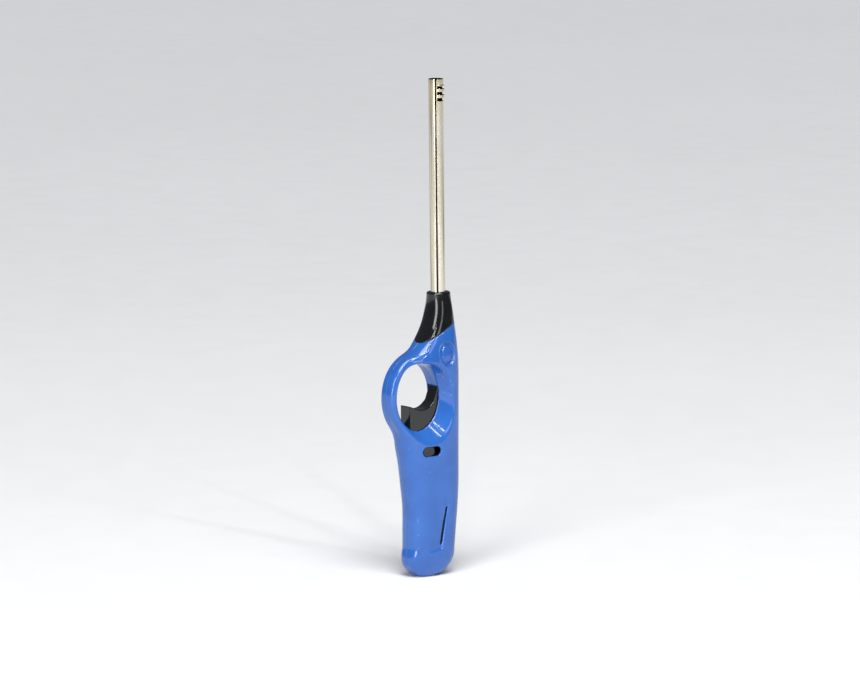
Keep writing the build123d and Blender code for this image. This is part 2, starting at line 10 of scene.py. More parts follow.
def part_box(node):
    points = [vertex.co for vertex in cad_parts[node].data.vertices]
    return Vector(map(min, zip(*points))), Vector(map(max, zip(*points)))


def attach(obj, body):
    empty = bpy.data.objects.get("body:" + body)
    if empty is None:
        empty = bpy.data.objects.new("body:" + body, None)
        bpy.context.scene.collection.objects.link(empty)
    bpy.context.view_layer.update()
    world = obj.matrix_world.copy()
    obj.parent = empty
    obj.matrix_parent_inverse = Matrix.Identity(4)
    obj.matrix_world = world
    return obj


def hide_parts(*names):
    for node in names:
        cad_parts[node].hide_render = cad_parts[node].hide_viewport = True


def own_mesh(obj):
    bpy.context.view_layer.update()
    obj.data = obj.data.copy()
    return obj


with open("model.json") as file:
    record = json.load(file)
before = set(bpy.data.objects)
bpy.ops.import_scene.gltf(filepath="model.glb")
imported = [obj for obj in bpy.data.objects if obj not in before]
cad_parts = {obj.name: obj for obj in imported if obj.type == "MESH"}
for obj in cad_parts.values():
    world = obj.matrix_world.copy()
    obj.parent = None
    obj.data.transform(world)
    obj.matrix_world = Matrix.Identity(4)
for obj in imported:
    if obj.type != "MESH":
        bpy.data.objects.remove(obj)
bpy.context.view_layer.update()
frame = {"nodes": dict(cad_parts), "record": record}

# Lengths below are millimetres in the CAD's own frame; meshes are scaled to metres when built.
MM = 0.001


def node_box(name):
    """A CAD node's lowest and highest corner, in millimetres."""
    low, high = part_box(name)
    return np.array(low) / MM, np.array(high) / MM


SHELL_LOW, SHELL_HIGH = node_box("near_shell")
NOSE_LOW, NOSE_HIGH = node_box("nose_cone")
TUBE_LOW, TUBE_HIGH = node_box("wand_tube")
TRIGGER_LOW, TRIGGER_HIGH = node_box("trigger")
LOCK_LOW, LOCK_HIGH = node_box("lock_slider")
WAND_X = (TUBE_LOW[0] + TUBE_HIGH[0]) / 2
TUBE_R = (TUBE_HIGH[1] - TUBE_LOW[1]) / 2
NOSE_TOP = NOSE_HIGH[2]

# ---- shape functions ----------------------------------------------------------------------
# Every solid is a distance-like field, negative inside, built from these.


def soft_min(a, b, k):
    """Union of two fields with a fillet about k wide."""
    h = np.maximum(k - np.abs(a - b), 0.0)
    return np.minimum(a, b) - h * h / (4 * k)


def round_max(a, b, r):
    """Intersection of two fields whose shared edge is rounded to radius r."""
    corner = np.hypot(np.maximum(a + r, 0.0), np.maximum(b + r, 0.0))
    return np.minimum(np.maximum(a, b) + r, 0.0) + corner - r


def cut(solid, tool, r=0.1):
    """The solid without the tool, its new edge rounded to radius r."""
    return round_max(solid, -tool, r)


def brick(x, y, z, low, high):
    """A box from one corner to the other."""
    sides = [(low[0] - x, x - high[0]), (low[1] - y, y - high[1]), (low[2] - z, z - high[2])]
    return np.maximum.reduce([np.maximum(a, b) for a, b in sides])


def oval(x, z, centre, rx, rz):
    """Distance from an ellipse, near enough beside its outline."""
    u, v = (x - centre[0]) / rx, (z - centre[1]) / rz
    q = np.sqrt(u * u + v * v) + 1e-9
    return (q - 1) * q / np.sqrt((u / rx) ** 2 + (v / rz) ** 2 + 1e-12)


def from_segment(x, z, a, b):
    """Distance from a line segment in the x, z plane."""
    a, b = np.array(a, float), np.array(b, float)
    along = b - a
    t = np.clip(((x - a[0]) * along[0] + (z - a[1]) * along[1]) / (along @ along), 0, 1)
    return np.hypot(x - a[0] - t * along[0], z - a[1] - t * along[1])


def step(value, low, high):
    """0 below low, 1 above high, smooth between."""
    t = np.clip((value - low) / (high - low), 0, 1)
    return t * t * (3 - 2 * t)


def curve_through(points, at):
    """A smooth curve through (t, value) points, read at the given t."""
    t, v = np.array(points, float).T
    slope = np.gradient(v, t)
    i = np.clip(np.searchsorted(t, at) - 1, 0, len(t) - 2)
    span = t[i + 1] - t[i]
    s = np.clip((at - t[i]) / span, 0, 1)
    rise = (2 * s**3 - 3 * s**2 + 1) * v[i] + (3 * s**2 - 2 * s**3) * v[i + 1]
    lean = (s**3 - 2 * s**2 + s) * slope[i] + (s**3 - s**2) * slope[i + 1]
    return rise + lean * span


# ---- fields to meshes -----------------------------------------------------------------------


def dual_mesh(field, xs, ys, zs, polish=2):
    """A closed quad mesh on a field's zero surface: one point for each grid cell it crosses."""
    values = field(*np.meshgrid(xs, ys, zs, indexing="ij")).astype(np.float64)
    inside = values < 0
    cells = tuple(n - 1 for n in values.shape)
    total = np.zeros(cells + (3,))
    count = np.zeros(cells)
    corners = [(i, j, k) for i in (0, 1) for j in (0, 1) for k in (0, 1)]
    grids = (xs, ys, zs)

    def corner(array, c):
        return array[tuple(slice(c[a], c[a] + cells[a]) for a in range(3))]

    for p in corners:
        for axis in range(3):
            if p[axis]:
                continue
            q = tuple(1 if a == axis else p[a] for a in range(3))
            fp, fq = corner(values, p), corner(values, q)
            crossing = corner(inside, p) != corner(inside, q)
            t = np.where(crossing, fp / np.where(fp == fq, 1, fp - fq), 0)
            for a in range(3):
                shape = [1, 1, 1]
                shape[a] = cells[a]
                base = grids[a][p[a]:p[a] + cells[a]].reshape(shape)
                if a == axis:
                    base = base + t * np.diff(grids[a]).reshape(shape)
                total[..., a] += np.where(crossing, base, 0)
            count += crossing
    used = count > 0
    number = np.full(cells, -1)
    number[used] = np.arange(used.sum())
    points = total[used] / count[used][:, None]

    faces = []
    for axis in range(3):
        u, v = (axis + 1) % 3, (axis + 2) % 3
        here = [slice(None)] * 3
        there = [slice(None)] * 3
        here[axis], there[axis] = slice(0, -1), slice(1, None)
        a, b = inside[tuple(here)], inside[tuple(there)]
        at = np.argwhere(a != b)
        keep = (at[:, u] > 0) & (at[:, v] > 0) & (at[:, u] < cells[u]) & (at[:, v] < cells[v])
        at = at[keep]
        flip = b[tuple(at.T)]
        ring = []
        for du, dv in ((1, 1), (0, 1), (0, 0), (1, 0)):
            cell = at.copy()
            cell[:, u] -= du
            cell[:, v] -= dv
            ring.append(number[tuple(cell.T)])
        quads = np.stack(ring, 1)
        quads[flip] = quads[flip][:, ::-1]
        faces.append(quads)
    faces = np.concatenate(faces)

    reach = 0.35 * min(np.diff(xs).max(), np.diff(zs).max())
    probe = 0.03
    for _ in range(polish):
        x, y, z = points.T
        value = field(x, y, z)
        slope = np.stack([
            field(x + probe, y, z) - field(x - probe, y, z),
            field(x, y + probe, z) - field(x, y - probe, z),
            field(x, y, z + probe) - field(x, y, z - probe),
        ], 1) / (2 * probe)
        size = np.maximum((slope**2).sum(1), 0.2)
        move = np.clip(value / size, -reach, reach)[:, None] * slope
        points = points - move
    return points, faces


def make_piece(name, points, faces):
    """A smooth-shaded Blender object from points in millimetres."""
    mesh = bpy.data.meshes.new(name)
    points = np.asarray(points, np.float64) * MM
    mesh.from_pydata(points.tolist(), [], np.asarray(faces).tolist() if len(faces) else [])
    mesh.validate()
    mesh.polygons.foreach_set("use_smooth", [True] * len(mesh.polygons))
    mesh.update()
    piece = bpy.data.objects.new(name, mesh)
    bpy.context.scene.collection.objects.link(piece)
    return piece


def even(low, high, pitch):
    """Grid lines from low to high, about pitch apart."""
    return np.linspace(low, high, int(round((high - low) / pitch)) + 1)


def moulding(name, field, low, high, margin, pitch):
    """A piece meshed from its field on an even grid a margin past its CAD node's box."""
    size = pitch
    grid = [even(low[axis] - margin, high[axis] + margin, size) for axis in range(3)]
    return make_piece(name, *dual_mesh(field, *grid))


# ---- materials ------------------------------------------------------------------------------


class Look:
    """A node material with one Principled shader, and short ways to add detail to it."""

    def __init__(self, name, **sockets):
        self.material = bpy.data.materials.new(name)
        self.material.use_nodes = True
        self.tree = self.material.node_tree
        self.shader = self.tree.nodes["Principled BSDF"]
        for socket, value in sockets.items():
            self.shader.inputs[socket.replace("_", " ")].default_value = value
        place = self.tree.nodes.new("ShaderNodeTexCoord")
        self.place = place.outputs["Object"]

    def node(self, kind, **settings):
        made = self.tree.nodes.new(kind)
        for key, value in settings.items():
            setattr(made, key, value)
        return made

    def link(self, a, b):
        self.tree.links.new(a, b)

    def noise(self, size_mm, detail=3, stretch=(1, 1, 1), roughness=0.5):
        """Noise whose blobs are about size_mm across."""
        mapping = self.node("ShaderNodeMapping")
        mapping.inputs["Scale"].default_value = stretch
        self.link(self.place, mapping.inputs["Vector"])
        noise = self.node("ShaderNodeTexNoise")
        noise.inputs["Scale"].default_value = 1 / (size_mm * MM)
        noise.inputs["Detail"].default_value = detail
        noise.inputs["Roughness"].default_value = roughness
        self.link(mapping.outputs["Vector"], noise.inputs["Vector"])
        return noise.outputs["Fac"]

    def remap(self, value, low, high, to_low=0.0, to_high=1.0):
        made = self.node("ShaderNodeMapRange")
        made.interpolation_type = "SMOOTHSTEP"
        for key, number in zip(("From Min", "From Max", "To Min", "To Max"), (low, high, to_low, to_high)):
            made.inputs[key].default_value = number
        self.link(value, made.inputs["Value"])
        return made.outputs["Result"]

    def math(self, operation, a, b):
        made = self.node("ShaderNodeMath", operation=operation)
        for index, value in enumerate((a, b)):
            if isinstance(value, (int, float)):
                made.inputs[index].default_value = value
            else:
                self.link(value, made.inputs[index])
        return made.outputs[0]

    def mix(self, factor, a, b):
        """Two colours mixed by a factor."""
        made = self.node("ShaderNodeMix", data_type="RGBA")
        self.link(factor, made.inputs["Factor"])
        for socket, value in (("A", a), ("B", b)):
            target = [s for s in made.inputs if s.name == socket and s.type == "RGBA"][0]
            if isinstance(value, tuple):
                target.default_value = value
            else:
                self.link(value, target)
        return [s for s in made.outputs if s.type == "RGBA"][0]

    def height(self, value, depth_mm, after=None):
        """Bump of a given depth, after any earlier bump."""
        made = self.node("ShaderNodeBump")
        made.inputs["Strength"].default_value = 1.0
        made.inputs["Distance"].default_value = depth_mm * MM
        self.link(value, made.inputs["Height"])
        if after is not None:
            self.link(after, made.inputs["Normal"])
        self.link(made.outputs["Normal"], self.shader.inputs["Normal"])
        return made.outputs["Normal"]

    def colour(self, value):
        self.link(value, self.shader.inputs["Base Color"])

    def roughness(self, value):
        self.link(value, self.shader.inputs["Roughness"])

    def edges(self, low=0.52, high=0.60):
        """1 on convex edges, 0 elsewhere."""
        shape = self.node("ShaderNodeNewGeometry")
        return self.remap(shape.outputs["Pointiness"], low, high)


def shade(r, g, b):
    return (r, g, b, 1.0)


def moulded_plastic(name, base, light, dark, gloss, scuffed):
    """Glossy moulding: mottled colour, orange peel, hairline scratches, rubbed edges."""
    look = Look(name, IOR=1.52, Coat_Weight=0.25, Coat_Roughness=0.06)
    clouds = look.remap(look.noise(14, 4), 0.35, 0.65)
    tone = look.mix(clouds, dark, base)
    rubbed = look.math("MULTIPLY", look.edges(), look.remap(look.noise(2.5, 5), 0.35, 0.75))
    look.colour(look.mix(look.math("MULTIPLY", rubbed, 0.5), tone, light))
    smears = look.remap(look.noise(9, 5, (1, 1, 0.35)), 0.42, 0.7)
    lines = look.remap(look.noise(0.9, 2, (2.5, 2.5, 0.08)), 0.66, 0.72)
    marks = look.math("MULTIPLY", lines, look.remap(look.noise(11, 2), 0.5, 0.7))
    spread = look.math("MULTIPLY_ADD", smears, scuffed)
    spread.node.inputs[2].default_value = gloss
    look.roughness(look.math("ADD", spread, look.math("MULTIPLY", marks, 0.18)))
    peel = look.height(look.noise(1.8, 2), 0.010)
    look.height(marks, -0.006, peel)
    return look.material


def rolled_steel():
    """Bright rolled sheet with drawn lines along the tube and a heat tint at the tip."""
    look = Look("wand_steel", Metallic=1.0, IOR=2.5)
    lines = look.noise(0.5, 4, (1, 1, 0.012), 0.65)
    broad = look.noise(3.0, 3, (1, 1, 0.05))
    bright, warm = shade(0.86, 0.81, 0.68), shade(0.70, 0.63, 0.48)
    tone = look.mix(look.remap(broad, 0.35, 0.7), bright, warm)
    # Dark streaks along the tube: partly stain, partly painted reflection of a dark studio.
    stain_and_painted_reflection = look.math("MULTIPLY", look.remap(look.noise(2.4, 3, (1, 1, 0.02)), 0.50, 0.66), 0.75)
    tone = look.mix(stain_and_painted_reflection, tone, shade(0.22, 0.20, 0.155))
    split = look.node("ShaderNodeSeparateXYZ")
    look.link(look.place, split.inputs[0])
    ripple = look.math("MULTIPLY_ADD", look.noise(4, 3), 0.012)
    ripple.node.inputs[2].default_value = -0.006
    height = look.math("ADD", split.outputs["Z"], ripple)
    tip = TUBE_HIGH[2] * MM
    straw = look.remap(height, tip - 0.030, tip - 0.006, 0.0, 0.55)
    tone = look.mix(straw, tone, shade(0.80, 0.66, 0.40))
    soot = look.remap(height, tip - 0.004, tip + 0.004, 0.0, 0.5)
    tone = look.mix(soot, tone, shade(0.16, 0.13, 0.11))
    # The sheet's inner face is coloured near-black: painted shade inside the tube, seen through the vents and
    # the seam.
    across = look.math("SUBTRACT", split.outputs["X"], WAND_X * MM)
    out = look.math("POWER", look.math("ADD", look.math("POWER", across, 2.0),
                                       look.math("POWER", split.outputs["Y"], 2.0)), 0.5)
    bore = look.remap(out, (TUBE_R - 0.34) * MM, (TUBE_R - 0.12) * MM)
    look.colour(look.mix(bore, shade(0.012, 0.011, 0.010), tone))
    look.roughness(look.remap(lines, 0.3, 0.75, 0.12, 0.28))
    groove = look.height(lines, 0.004)
    look.height(look.noise(6, 3), 0.02, groove)
    return look.material


def plain_metal(name, bright, dull, smooth, rough):
    """Turned or drawn metal with tarnish in patches."""
    look = Look(name, Metallic=1.0)
    patch = look.remap(look.noise(1.6, 5), 0.4, 0.68)
    look.colour(look.mix(patch, bright, dull))
    look.roughness(look.remap(look.noise(0.8, 4), 0.3, 0.7, smooth, rough))
    look.height(look.noise(0.25, 2, (1, 1, 6)), 0.004)
    return look.material


def soft_plastic(name, base, dark, rough):
    """Unpolished moulding or rubber with a fine grain."""
    look = Look(name, IOR=1.48)
    look.colour(look.mix(look.remap(look.noise(3, 4), 0.35, 0.65), base, dark))
    look.roughness(look.remap(look.noise(1.2, 3), 0.3, 0.7, rough - 0.08, rough + 0.1))
    look.height(look.noise(0.3, 2), 0.01)
    return look.material


LOOKS = {
    "body_blue": moulded_plastic(
        "body_blue", shade(0.024, 0.118, 0.430), shade(0.11, 0.27, 0.66), shade(0.020, 0.100, 0.385),
        0.07, 0.10,
    ),
    "black_gloss": moulded_plastic(
        "black_gloss", shade(0.005, 0.0055, 0.006), shade(0.04, 0.04, 0.038), shade(0.0035, 0.0035, 0.004),
        0.06, 0.10,
    ),
    "wand_steel": rolled_steel(),
    "spring_steel": plain_metal("spring_steel", shade(0.60, 0.60, 0.61), shade(0.34, 0.33, 0.32), 0.2, 0.45),
    "brass": plain_metal("brass", shade(0.80, 0.58, 0.25), shade(0.45, 0.30, 0.12), 0.2, 0.5),
    "hose_rubber": soft_plastic("hose_rubber", shade(0.03, 0.03, 0.03), shade(0.018, 0.018, 0.018), 0.6),
    "lead_red": soft_plastic("lead_red", shade(0.42, 0.03, 0.02), shade(0.30, 0.02, 0.02), 0.4),
    # white_plastic is coloured dark brown, not white: painted shade for its parts inside the tube, which show
    # through the seam.
    "white_plastic": soft_plastic("white_plastic", shade(0.13, 0.11, 0.085), shade(0.05, 0.042, 0.035), 0.42),
    "piezo_plastic": soft_plastic("piezo_plastic", shade(0.55, 0.52, 0.44), shade(0.44, 0.41, 0.34), 0.45),
    "crystal": soft_plastic("crystal", shade(0.36, 0.34, 0.30), shade(0.26, 0.25, 0.22), 0.5),
    "tank_clear": soft_plastic("tank_clear", shade(0.10, 0.13, 0.15), shade(0.05, 0.07, 0.09), 0.25),
}


def finish_piece(piece, slot, body, *nodes):
    """Material, slot and body for a piece, and the CAD nodes that it stands for."""
    piece.data.materials.clear()
    piece.data.materials.append(LOOKS[slot])
    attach(piece, body)
    if nodes:
        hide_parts(*nodes)
    return piece


# ---- camera, floor and light ------------------------------------------------------------------
AZIMUTH, ELEVATION = radians(-40), radians(9)
BACK = Vector((sin(AZIMUTH) * cos(ELEVATION), -cos(AZIMUTH) * cos(ELEVATION), sin(ELEVATION)))
AIM = Vector((8.1, 0.0, 123.0)) * MM
ROLL = radians(-0.6)
DISTANCE = 3.0
VIEW_WIDTH = 0.465           # metres across the picture at the object

camera = bpy.data.objects.new("camera", bpy.data.cameras.new("camera"))
bpy.context.scene.collection.objects.link(camera)
camera.location = AIM + BACK * DISTANCE
camera.rotation_mode = "QUATERNION"
camera.rotation_quaternion = (-BACK).to_track_quat("-Z", "Y") @ Quaternion((0, 0, 1), ROLL)
camera.data.lens = camera.data.sensor_width * DISTANCE / VIEW_WIDTH
camera.data.clip_end = 50
bpy.context.scene.camera = camera

# The world lights the object weakly and shows the camera a brighter backdrop.
WORLD_LIGHT, BACKDROP_LIGHT = 0.16, 0.85
world = bpy.data.worlds.new("studio")
world.use_nodes = True
studio = world.node_tree.nodes
studio["Background"].inputs["Color"].default_value = (0.80, 0.88, 1.0, 1.0)
studio["Background"].inputs["Strength"].default_value = WORLD_LIGHT
backdrop = studio.new("ShaderNodeBackground")
backdrop.inputs["Color"].default_value = (0.93, 0.94, 0.96, 1.0)
backdrop.inputs["Strength"].default_value = BACKDROP_LIGHT
seen = studio.new("ShaderNodeLightPath")
choice = studio.new("ShaderNodeMixShader")
world.node_tree.links.new(seen.outputs["Is Camera Ray"], choice.inputs[0])
world.node_tree.links.new(studio["Background"].outputs[0], choice.inputs[1])
world.node_tree.links.new(backdrop.outputs[0], choice.inputs[2])
world.node_tree.links.new(choice.outputs[0], studio["World Output"].inputs["Surface"])
bpy.context.scene.world = world
bpy.context.scene.view_settings.view_transform = "Standard"

bpy.ops.mesh.primitive_circle_add(vertices=96, radius=7.0, fill_type="NGON", location=(0, 0, 0))
floor = bpy.context.object
floor.name = "floor"
floor_look = Look("floor_paper")
floor_look.colour(floor_look.mix(floor_look.noise(400, 2), shade(0.90, 0.90, 0.90), shade(0.86, 0.86, 0.86)))
floor_look.roughness(floor_look.remap(floor_look.noise(30, 3), 0.3, 0.7, 0.75, 0.9))
floor.data.materials.append(floor_look.material)


LAMP_TARGET = Vector((0.005, 0, 0.11))
STRIP_COUNT, STRIP_SIZE, STRIP_POWER = 5, (0.03, 0.9), 3.0


def light(name, kind, power, direction):
    """A light of one kind that shines along a direction."""
    data = bpy.data.lights.new(name, kind)
    data.energy = power
    holder = bpy.data.objects.new(name, data)
    holder.rotation_mode = "QUATERNION"
    holder.rotation_quaternion = direction.to_track_quat("-Z", "Y")
    bpy.context.scene.collection.objects.link(holder)
    return holder


def lamp(name, place, size, power):
    """A rectangular studio light in metres, turned to the object."""
    holder = light(name, "AREA", power, LAMP_TARGET - Vector(place))
    holder.location = place
    holder.data.shape = "RECTANGLE"
    holder.data.size, holder.data.size_y = size


lamp("key", (-1.9, -0.9, 0.75), (0.7, 1.4), 22)
lamp("front", (-0.2, -2.4, 0.9), (0.5, 0.9), 4)
light("daylight", "SUN", 2.1, Vector((0.45, 0.55, -1.3))).data.angle = radians(35)
for index in range(STRIP_COUNT):
    place = (-1.15 + 0.3 * index, -1.25 + 0.05 * index, 1.35)
    lamp(f"strip_{index}", place, STRIP_SIZE, STRIP_POWER)

# ---- body form ----------------------------------------------------------------------------------
# height, front edge x, spine edge x, half thickness
STATIONS = [
    (0, -3.1, 5.4, 4.8), (1, -4.8, 8.6, 6.4), (3, -7.2, 13.1, 8.0), (6, -9.8, 16.3, 9.3),
    (10, -10.5, 18.4, 10.3), (16, -9.5, 18.9, 10.8), (26, -9.3, 20.0, 10.8),
    (38, -9.3, 21.4, 10.8), (50, -10.7, 22.4, 10.8), (62, -12.3, 22.7, 10.8),
    (74, -14.6, 23.0, 10.8), (86, -14.4, 23.2, 10.8), (98, -12.8, 23.2, 10.8),
    (110, -11.3, 23.4, 10.6), (118, -9.2, 23.2, 10.4), (123, -4.6, 22.9, 10.0),
    (128, -0.5, 22.6, 9.6), (136, 4.4, 21.9, 8.7), (145, 7.2, 21.3, 7.7),
    (150, 7.9, 21.0, 6.8), (154.5, 7.85, 20.9, 6.3),
]
NECK_Z, SQUARENESS, SPINE_FULLNESS = 120.0, 3.0, 0.15
FRONT = [(row[0], row[1]) for row in STATIONS]
SPINE = [(row[0], row[2]) for row in STATIONS]
HALF = [(row[0], row[3]) for row in STATIONS]
RING_CENTRE, RING_RX, RING_RZ, RING_DEPTH, RING_ROUND = (-4.05, 99.0), 19.35, 23.3, 5.5, 2.8
HOLE_CENTRE, HOLE_RX, HOLE_RZ = (-4.95, 99.4), 14.55, 18.3
DISH_START, DISH_REACH, DISH_INSET = 4.2, 7.5, 0.45
DISH_SHIFT, DISH_GROW = (4.0, -4.6), (3.9, 4.9)
JOINT_POINT, JOINT_SLOPE = (9.0, 132.7), radians(27.5)
BOSS, BOSS_RX, BOSS_RZ = (12.1, 121.4), 5.65, 7.4
SLIT_LOW, SLIT_HIGH, SLIT_HALF = (6.0, 18.3), (9.9, 37.5), 0.6
LEDGE_LOW, LEDGE_HIGH = (-3.3, 13.9), (9.3, 15.6)
LOCK_SLOT = (0.6, 69.4)
LOCK_SLOT_HALF, LOCK_SLOT_R = 3.1, 2.6
TRIGGER_HALF = 4.2
SHELL_WALL, SHELL_FLOOR, SHELL_ROOF = 1.4, 3.6, 74
RING_FILLET, HOLE_EDGE, JOINT_EDGE, SEAM_EDGE = 4.5, 1.2, 0.3, 0.28
JOINT_GAP, SEAM_GAP = 0.04, 0.02        # half of the hairline left between two mouldings

# Pockets in each shell, from one corner to the other.
SPINE_CHANNEL = (12.7, -9, 68), (20.6, 4.8, 125)
FOOT_POCKET = (-10.2, -9, 68), (12.2, 5.3, 77.7)
BLADE_POCKET = (-9.95, -9, 68), (11.25, TRIGGER_HALF + 0.25, 104)
SPIGOT_RX, SPIGOT_RY, SOCKET_FLOOR, SOCKET_ROOM = 7.0, 5.6, 122.9, 0.05
REFILL_X, REFILL_R, REFILL_TOP = 2.05, 2.45, 10
FLAME_WINDOW = (9.5, 4, 52.5), (20.5, 20, 55.5)
# The far shell's post that holds the gas lever's pin.
LEVER_AXIS, POST_R, POST_FROM, POST_TO = (11.3, 65.0), 2.1, 5.9, 9.8
PIN_R, PIN_END = 1.0, 8.1


def section_level(x, y, z):
    """1 on the body's section outline, less inside it."""
    front, spine, half = (curve_through(rows, z) for rows in (FRONT, SPINE, HALF))
    neck = np.clip((z - NECK_Z) / (NOSE_TOP - NECK_Z), 0, 1)
    power = SQUARENESS - (SQUARENESS - 2.0) * neck
    across = (x - (front + spine) / 2) / ((spine - front) / 2)
    fullness = 1 + SPINE_FULLNESS * (1 - neck) * np.clip(across, -1.2, 1.2)
    out = y / (half * fullness)
    return (np.abs(across) ** power + np.abs(out) ** power + 1e-9) ** (1 / power)


def body_form(x, y, z):
    """The body without ring or hole."""
    level = section_level(x, y, z)
    probe = 0.3
    slope = [
        section_level(x + probe, y, z) - section_level(x - probe, y, z),
        section_level(x, y + probe, z) - section_level(x, y - probe, z),
        section_level(x, y, z + probe) - section_level(x, y, z - probe),
    ]
    steepness = np.sqrt(sum(s * s for s in slope)) / (2 * probe)
    return np.maximum((level - 1) / np.maximum(steepness, 0.02), -z)


def ring_form(x, y, z):
    """The finger ring, still a disc."""
    return round_max(oval(x, z, RING_CENTRE, RING_RX, RING_RZ), y - RING_DEPTH, RING_ROUND)


def hole_form(x, y, z):
    """The finger hole and its flare."""
    straight = oval(x, z, HOLE_CENTRE, HOLE_RX, HOLE_RZ)
    t = np.clip((y - DISH_START) / DISH_REACH, -0.2, 1.2)
    dx, dz = x - HOLE_CENTRE[0] - DISH_SHIFT[0] * t, z - HOLE_CENTRE[1] - DISH_SHIFT[1] * t
    rx = HOLE_RX - DISH_INSET + DISH_GROW[0] * t
    rz = HOLE_RZ - DISH_INSET + DISH_GROW[1] * t
    q = np.sqrt((dx / rx) ** 2 + (dz / rz) ** 2) + 1e-9
    flare = (q - 1) * q / np.sqrt((dx / rx**2) ** 2 + (dz / rz**2) ** 2 + 1e-12) * 0.9
    return soft_min(straight, flare, 0.7)


def joint_height(x, z):
    """Distance above the slanted joint between body and nose."""
    return (z - JOINT_POINT[1]) * cos(JOINT_SLOPE) - (x - JOINT_POINT[0]) * sin(JOINT_SLOPE)


def boss_relief(x, y, z):
    """How far the surface sinks at the round boss: a thin rim, a moat and a low dome."""
    q = np.hypot((x - BOSS[0]) / BOSS_RX, (z - BOSS[1]) / BOSS_RZ)
    rim = -0.3 * np.exp(-(((q - 0.95) / 0.07) ** 2))
    moat = 0.85 * step(q, 0.50, 0.74) * (1 - step(q, 0.74, 0.92))
    dome = 0.35 * step(q, 0.0, 0.6) * (1 - step(q, 0.74, 0.92))
    return (moat + dome + rim) * (y > 3)


def sight_relief(x, y, z):
    """The shallow facet beside the fuel sight slit, ending in a ledge below it."""
    slit_x = SLIT_LOW[0] + (z - SLIT_LOW[1]) * (SLIT_HIGH[0] - SLIT_LOW[0]) / (SLIT_HIGH[1] - SLIT_LOW[1])
    lean = (LEDGE_HIGH[1] - LEDGE_LOW[1]) / (LEDGE_HIGH[0] - LEDGE_LOW[0])
    ledge_z = LEDGE_LOW[1] + (x - LEDGE_LOW[0]) * lean
    from_left = step(x, LEDGE_LOW[0] - 0.5, slit_x + 0.5)
    fade = 1 - step(z, 22, 50)
    above = step(z - ledge_z, -0.35, 0.45)
    left_of_slit = 1 - step(x - slit_x, 0.2, 1.5)
    return 0.95 * from_left * fade * above * left_of_slit * (y > 3)


def shell_hollow(x, y, z):
    """Everything hollow inside a shell: handle, channel, trigger and nose pockets, refill port."""
    handle = np.maximum.reduce([body_form(x, y, z) + SHELL_WALL, SHELL_FLOOR - z, z - SHELL_ROOF])
    socket = oval(x, y, (WAND_X, 0), SPIGOT_RX + SOCKET_ROOM, SPIGOT_RY + SOCKET_ROOM)
    pockets = [brick(x, y, z, *corners) for corners in (SPINE_CHANNEL, FOOT_POCKET, BLADE_POCKET)]
    return np.minimum.reduce([
        handle, *pockets,
        np.maximum(socket, SOCKET_FLOOR - z),
        np.maximum(np.hypot(x - REFILL_X, y) - REFILL_R, z - REFILL_TOP),
    ])


def shell_field(near):
    """A body shell's field, with y the distance from mid-plane."""

    def field(x, y, z):
        outer = soft_min(body_form(x, y, z), ring_form(x, y, z), RING_FILLET)
        outer = outer + boss_relief(x, y, z)
        if near:
            outer = outer + sight_relief(x, y, z)
        solid = cut(outer, hole_form(x, y, z), HOLE_EDGE)
        solid = round_max(solid, joint_height(x, z) + JOINT_GAP, JOINT_EDGE)
        solid = cut(solid, shell_hollow(x, y, z), 0.12)
        if near:
            ends = [(LOCK_SLOT[0] + side * LOCK_SLOT_HALF, LOCK_SLOT[1]) for side in (-1, 1)]
            slot = from_segment(x, z, *ends) - LOCK_SLOT_R
            solid = cut(solid, np.maximum(slot, 5 - y), 0.55)
            slit = from_segment(x, z, SLIT_LOW, SLIT_HIGH) - SLIT_HALF
            solid = cut(solid, np.maximum(slit, 4 - y), 0.12)
        else:
            solid = cut(solid, brick(x, y, z, *FLAME_WINDOW), 0.25)
            from_axis = np.hypot(x - LEVER_AXIS[0], z - LEVER_AXIS[1])
            post = np.maximum.reduce([from_axis - POST_R, POST_FROM - y, y - POST_TO])
            pin = np.maximum(from_axis - PIN_R, y - PIN_END)
            solid = np.maximum(np.minimum(solid, post), -pin)
        return round_max(solid, SEAM_GAP - y, SEAM_EDGE)

    return field


def shell_mesh(near):
    """A shell's points and faces, with finer rows beside the parting line."""
    side = -1 if near else 1
    pitch = 0.42
    xs = even(SHELL_LOW[0] - 1, SHELL_HIGH[0] + 1, pitch)
    zs = even(SHELL_LOW[2] - 1, SHELL_HIGH[2] + 1.5, pitch)
    ys = np.concatenate([[-0.25, -0.1, 0.0, 0.06, 0.14, 0.24, 0.36, 0.52, 0.74], even(1.0, 12.0, pitch)])
    points, faces = dual_mesh(shell_field(near), xs, ys, zs)
    points[:, 1] *= side
    if side < 0:
        faces = faces[:, ::-1]
    return points, faces


for node, near in (("near_shell", True), ("far_shell", False)):
    shell = make_piece(node + "_moulding", *shell_mesh(near))
    finish_piece(shell, "body_blue", "housing", node)

# ---- nose ----------------------------------------------------------------------------------------
PASSAGE_RADII, BORE_FLOOR = (4.6, 3.7), 139


def nose_field(x, y, z):
    """The black nose cone with its spigot, passage and bore."""
    outer = round_max(body_form(x, np.abs(y), z), z - NOSE_TOP, 1.0)
    outer = round_max(outer, JOINT_GAP - joint_height(x, z), JOINT_EDGE)
    spigot = np.maximum.reduce([
        oval(x, y, (WAND_X, 0), SPIGOT_RX, SPIGOT_RY), NOSE_LOW[2] + 0.02 - z, joint_height(x, z) - 3,
    ])
    solid = np.minimum(outer, spigot)
    passage = np.maximum(oval(x, y, (WAND_X, 0), *PASSAGE_RADII), z - BORE_FLOOR - 0.5)
    bore = np.maximum(np.hypot(x - WAND_X, y) - TUBE_R - 0.03, BORE_FLOOR - z)
    return cut(cut(solid, passage, 0.1), bore, 0.35)


nose = moulding("nose_cone_moulding", nose_field, NOSE_LOW, NOSE_HIGH, 1, 0.34)
finish_piece(nose, "black_gloss", "housing", "nose_cone")

